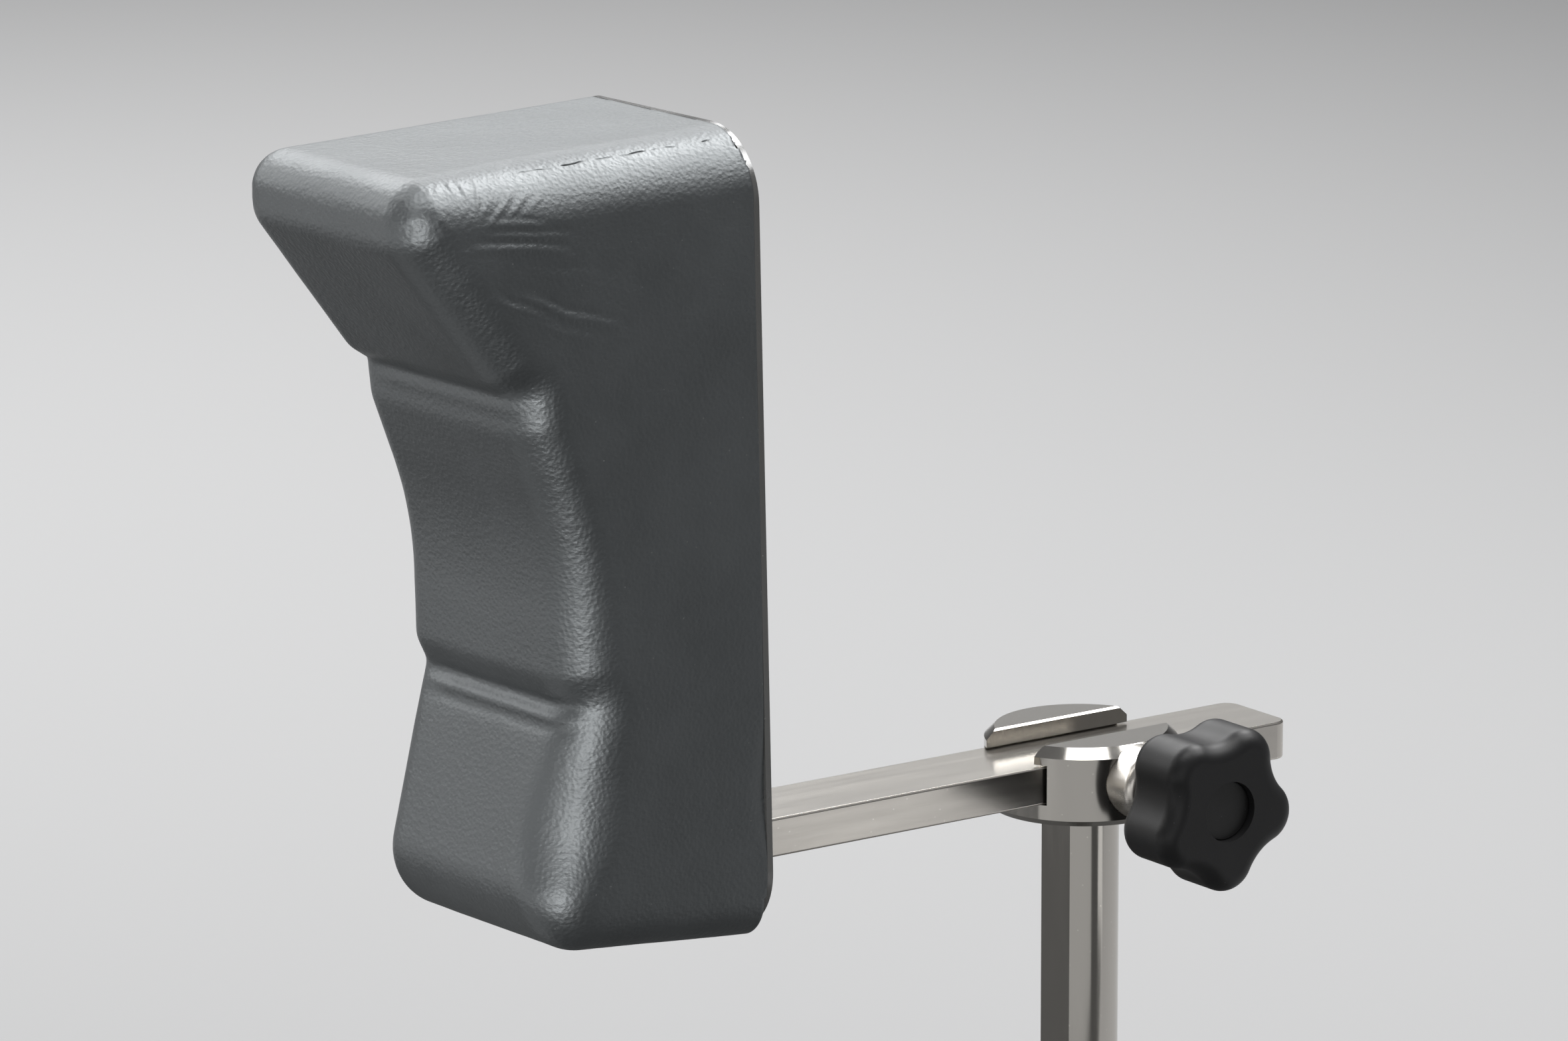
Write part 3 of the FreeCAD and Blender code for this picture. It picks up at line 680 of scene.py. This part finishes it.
def dress_cad_nodes():
    """Every carried-over CAD node gets the finish listed here for its name, and any other node the
    fastener finish.
    """
    along_bar = (0.06, 1, 1)
    round_post = (1, 1, 0.1)
    round_screw = (1, 0.2, 1)
    finish = {
        "slide_bar": satin_steel("bar_satin", 0.22, along_bar, dull_edge=0.3),
        "mounting_plate": satin_steel("plate_satin", 0.34),
        "clamp_head": satin_steel("head_turned", 0.13, round_post, DULL_STEEL),
        "mounting_post": satin_steel("post_satin", 0.13, round_post, DULL_STEEL),
        "threaded_boss": satin_steel("boss_turned", 0.28, round_screw),
        "pressure_shoe": turned_brass(),
        "knob_body": moulded_plastic("knob_black", (0.010, 0.010, 0.0105), 0.46, specular=0.38),
        "knob_cap": moulded_plastic("cap_black", (0.008, 0.008, 0.008), 0.42, 0.5),
        "back_cover": moulded_plastic("cover_charcoal", (0.06, 0.06, 0.058), 0.24, specular=0.8, ior=1.7),
        "pad_board": birch_board(),
    }
    fastener = satin_steel("fastener_zinc", 0.34, None, ZINC)
    for name, obj in nodes.items():
        for place in obj.material_slots:
            place.material = finish.get(name, fastener)


# ---------------------------------------------------------------- stage, light and camera

# The camera: its heading, how far it looks down and its roll in radians, its lens in mm and its place
HEADING = 0.6198770
DROP = 0.2302603
ROLL = -0.0025924
LENS = 182.97
SENSOR_WIDTH = 36
CAMERA_AT = (-1.217119, -1.573759, 0.541054)

FLOOR_Z = -0.1802
FLOOR_HALF = 12.0
WALL_STARTS = 2.6
WALL_CURVE = 1.2
WALL_HEIGHT = 4.5
CURVE_STEPS = 16
SIDE_WAY = Vector((math.cos(HEADING), -math.sin(HEADING), 0))
BACK_WAY = Vector((math.sin(HEADING), math.cos(HEADING), 0))


def stage_floor():
    """Wide pale floor that curves up into a wall behind the object."""
    run = [(-FLOOR_HALF, 0.0)]
    for i in range(CURVE_STEPS + 1):
        angle = math.radians(90 * i / CURVE_STEPS)
        run.append((WALL_STARTS + WALL_CURVE * math.sin(angle), WALL_CURVE - WALL_CURVE * math.cos(angle)))
    run.append((WALL_STARTS + WALL_CURVE, WALL_HEIGHT))
    corners = []
    for along, up in run:
        for across in (-FLOOR_HALF, FLOOR_HALF):
            spot = BACK_WAY * along + SIDE_WAY * across
            corners.append((spot.x, spot.y, FLOOR_Z + up))
    faces = [(2 * i, 2 * i + 1, 2 * i + 3, 2 * i + 2) for i in range(len(run) - 1)]
    mesh = bpy.data.meshes.new("stage_floor")
    mesh.from_pydata(corners, [], faces)
    mesh.polygons.foreach_set("use_smooth", [True] * len(faces))
    floor = bpy.data.objects.new("stage_floor", mesh)
    bpy.context.scene.collection.objects.link(floor)
    mesh.materials.append(Look("stage_grey", (0.34, 0.34, 0.342), 0.9, specular=0.05).material)


def softbox(name, way, distance, width, height, power, aim=(-0.06, 0, 0.03)):
    """A soft rectangular lamp out along a direction from the object."""
    lamp = bpy.data.lights.new(name, "AREA")
    lamp.shape = "RECTANGLE"
    lamp.size = width
    lamp.size_y = height
    lamp.energy = power
    obj = bpy.data.objects.new(name, lamp)
    obj.location = Vector(aim) + Vector(way).normalized() * distance
    obj.rotation_euler = Vector(way).to_track_quat("Z", "Y").to_euler()
    bpy.context.scene.collection.objects.link(obj)
    return obj


def mirrored_card(name, colour, corners):
    """A card that only reflections see: it is out of the picture and casts no shadow."""
    mesh = bpy.data.meshes.new(name)
    mesh.from_pydata(corners, [], [tuple(range(len(corners)))])
    card = bpy.data.objects.new(name, mesh)
    bpy.context.scene.collection.objects.link(card)
    mesh.materials.append(Look(name, colour, 0.8, specular=0.1).material)
    card.visible_camera = False
    card.visible_shadow = False
    card.visible_diffuse = False


def low_card(name, colour, lift, outline):
    """A level card near the floor, from corners along and across the camera's heading."""
    corners = []
    for along, across in outline:
        spot = BACK_WAY * along + SIDE_WAY * across
        corners.append((spot.x, spot.y, FLOOR_Z + lift))
    mirrored_card(name, colour, corners)


def mirrored_cards():
    """A dark card that the metal and skin mirror, standing for the dark table with painted shade where the
    pad's shadow falls on it, and a paler one on it under the pad's lip that is a painted pool of light on
    the table."""
    # Painted shade: the dark table with the pad's shadow on it, seen only in reflections
    low_card("stage_dark_card", (0.07, 0.07, 0.07), 0.002, (
        (-1.6, -0.43), (-1.6, 1.7), (-0.3, 1.7), (-0.2, 0.25),
        (0.1, 0.12), (0.37, 0.0), (0.37, -0.43), (0.25, -0.8),
    ))
    # Painted light: the lit patch of table beside the pad's shadow, seen only in reflections
    low_card("stage_pale_card", (0.36, 0.36, 0.36), 0.004, (
        (-0.30, -0.50), (-0.30, -0.20), (-0.02, -0.20), (-0.02, -0.50),
    ))


def link_lamps(name, lamps, pieces, link="INCLUDE"):
    """Lets the lamps light only these pieces, or with EXCLUDE all but these."""
    group = bpy.data.collections.new(name)
    for piece in pieces:
        group.objects.link(bpy.data.objects[piece])
    for member in group.collection_objects:
        member.light_linking.link_state = link
    for lamp in lamps:
        lamp.light_linking.receiver_collection = group


def studio_light():
    """Soft lamps and a pale world.  The pad and the metal mirror the room in different ways in the
    photograph, so some lamps light or leave out only some pieces."""
    softbox("lamp_overhead", (-0.05, -0.30, 0.94), 1.5, 0.8, 0.6, 8)
    keys = (
        softbox("lamp_key", (0.565, -0.34, 0.74), 1.5, 0.6, 0.5, 9),
        softbox("lamp_key_rear", (0.565, 0.16, 0.80), 1.5, 0.5, 0.4, 15),
    )
    lamp_left = softbox("lamp_left", (-0.52, -0.85, -0.04), 1.3, 1.2, 0.8, 2.6)
    softbox("lamp_left_wall", (-0.985, 0.15, -0.10), 1.0, 1.7, 0.2, 1.45)
    softbox("lamp_rear_left", (-0.62, 0.75, 0.42), 1.6, 1.3, 0.8, 7.5)
    behind_object = BACK_WAY * 1.5 - SIDE_WAY * 0.62 + Vector((0, 0, FLOOR_Z))
    softbox("lamp_backdrop", (0, 0, 1), 1.5, 1.9, 1.1, 44, behind_object)
    lamp_low = softbox("lamp_low", (0.55, -0.80, -0.225), 0.5, 0.12, 0.09, 0.028, (-0.09, -0.0125, 0))
    pad_lamps = (
        softbox("lamp_pad_left", (-0.65, -0.74, -0.02), 1.3, 0.26, 0.6, 9),
        softbox("lamp_pad_turn", (-0.875, -0.485, -0.05), 1.3, 0.55, 0.5, 2.3),
        softbox("lamp_pad_corner", (-0.55, -0.33, 0.76), 1.3, 0.4, 0.4, 2),
        softbox("lamp_pad_crown", (-0.28, 0.42, 0.86), 1.3, 0.9, 0.9, 4),
    )
    pad = ("pad_cushion", "back_cover")
    link_lamps("lit_by_pad_lamps", pad_lamps, pad)
    link_lamps("not_lit_by_metal_lamps", (lamp_left, lamp_low), pad, "EXCLUDE")
    metal_rear = softbox("lamp_metal_rear", (0.565, 0.79, 0.26), 1.6, 0.8, 0.5, 0.42)
    link_lamps("lit_by_metal_lamp", (metal_rear,), ("slide_bar", "clamp_head"))
    clamp_left = softbox("lamp_clamp_left", (-0.72, -0.69, -0.30), 0.36, 0.6, 0.15, 0.12, (0, 0, 0))
    link_lamps("lit_by_clamp_lamp", (clamp_left,), ("clamp_head", "mounting_post", "threaded_boss"))
    link_lamps("not_lit_by_keys", keys, ("slide_bar",), "EXCLUDE")
    world = bpy.context.scene.world or bpy.data.worlds.new("studio")
    bpy.context.scene.world = world
    world.use_nodes = True
    backing = world.node_tree.nodes["Background"]
    backing.inputs["Color"].default_value = (0.5, 0.5, 0.51, 1)
    backing.inputs["Strength"].default_value = 0.38


def photo_camera():
    """Long lens at the photograph's viewing angle."""
    ahead = BACK_WAY * math.cos(DROP) - Vector((0, 0, math.sin(DROP)))
    upward = SIDE_WAY.cross(ahead)
    right = SIDE_WAY * math.cos(ROLL) + upward * math.sin(ROLL)
    top = upward * math.cos(ROLL) - SIDE_WAY * math.sin(ROLL)
    lens = bpy.data.cameras.new("camera")
    lens.sensor_width = SENSOR_WIDTH
    lens.sensor_fit = "HORIZONTAL"
    lens.lens = LENS
    lens.clip_end = 50
    camera = bpy.data.objects.new("camera", lens)
    camera.matrix_world = Matrix((
        (right.x, top.x, -ahead.x, CAMERA_AT[0]),
        (right.y, top.y, -ahead.y, CAMERA_AT[1]),
        (right.z, top.z, -ahead.z, CAMERA_AT[2]),
        (0, 0, 0, 1),
    ))
    bpy.context.scene.collection.objects.link(camera)
    bpy.context.scene.camera = camera
    bpy.context.scene.view_settings.view_transform = "Standard"


dress_cad_nodes()
pad_cushion()
stage_floor()
mirrored_cards()
studio_light()
photo_camera()
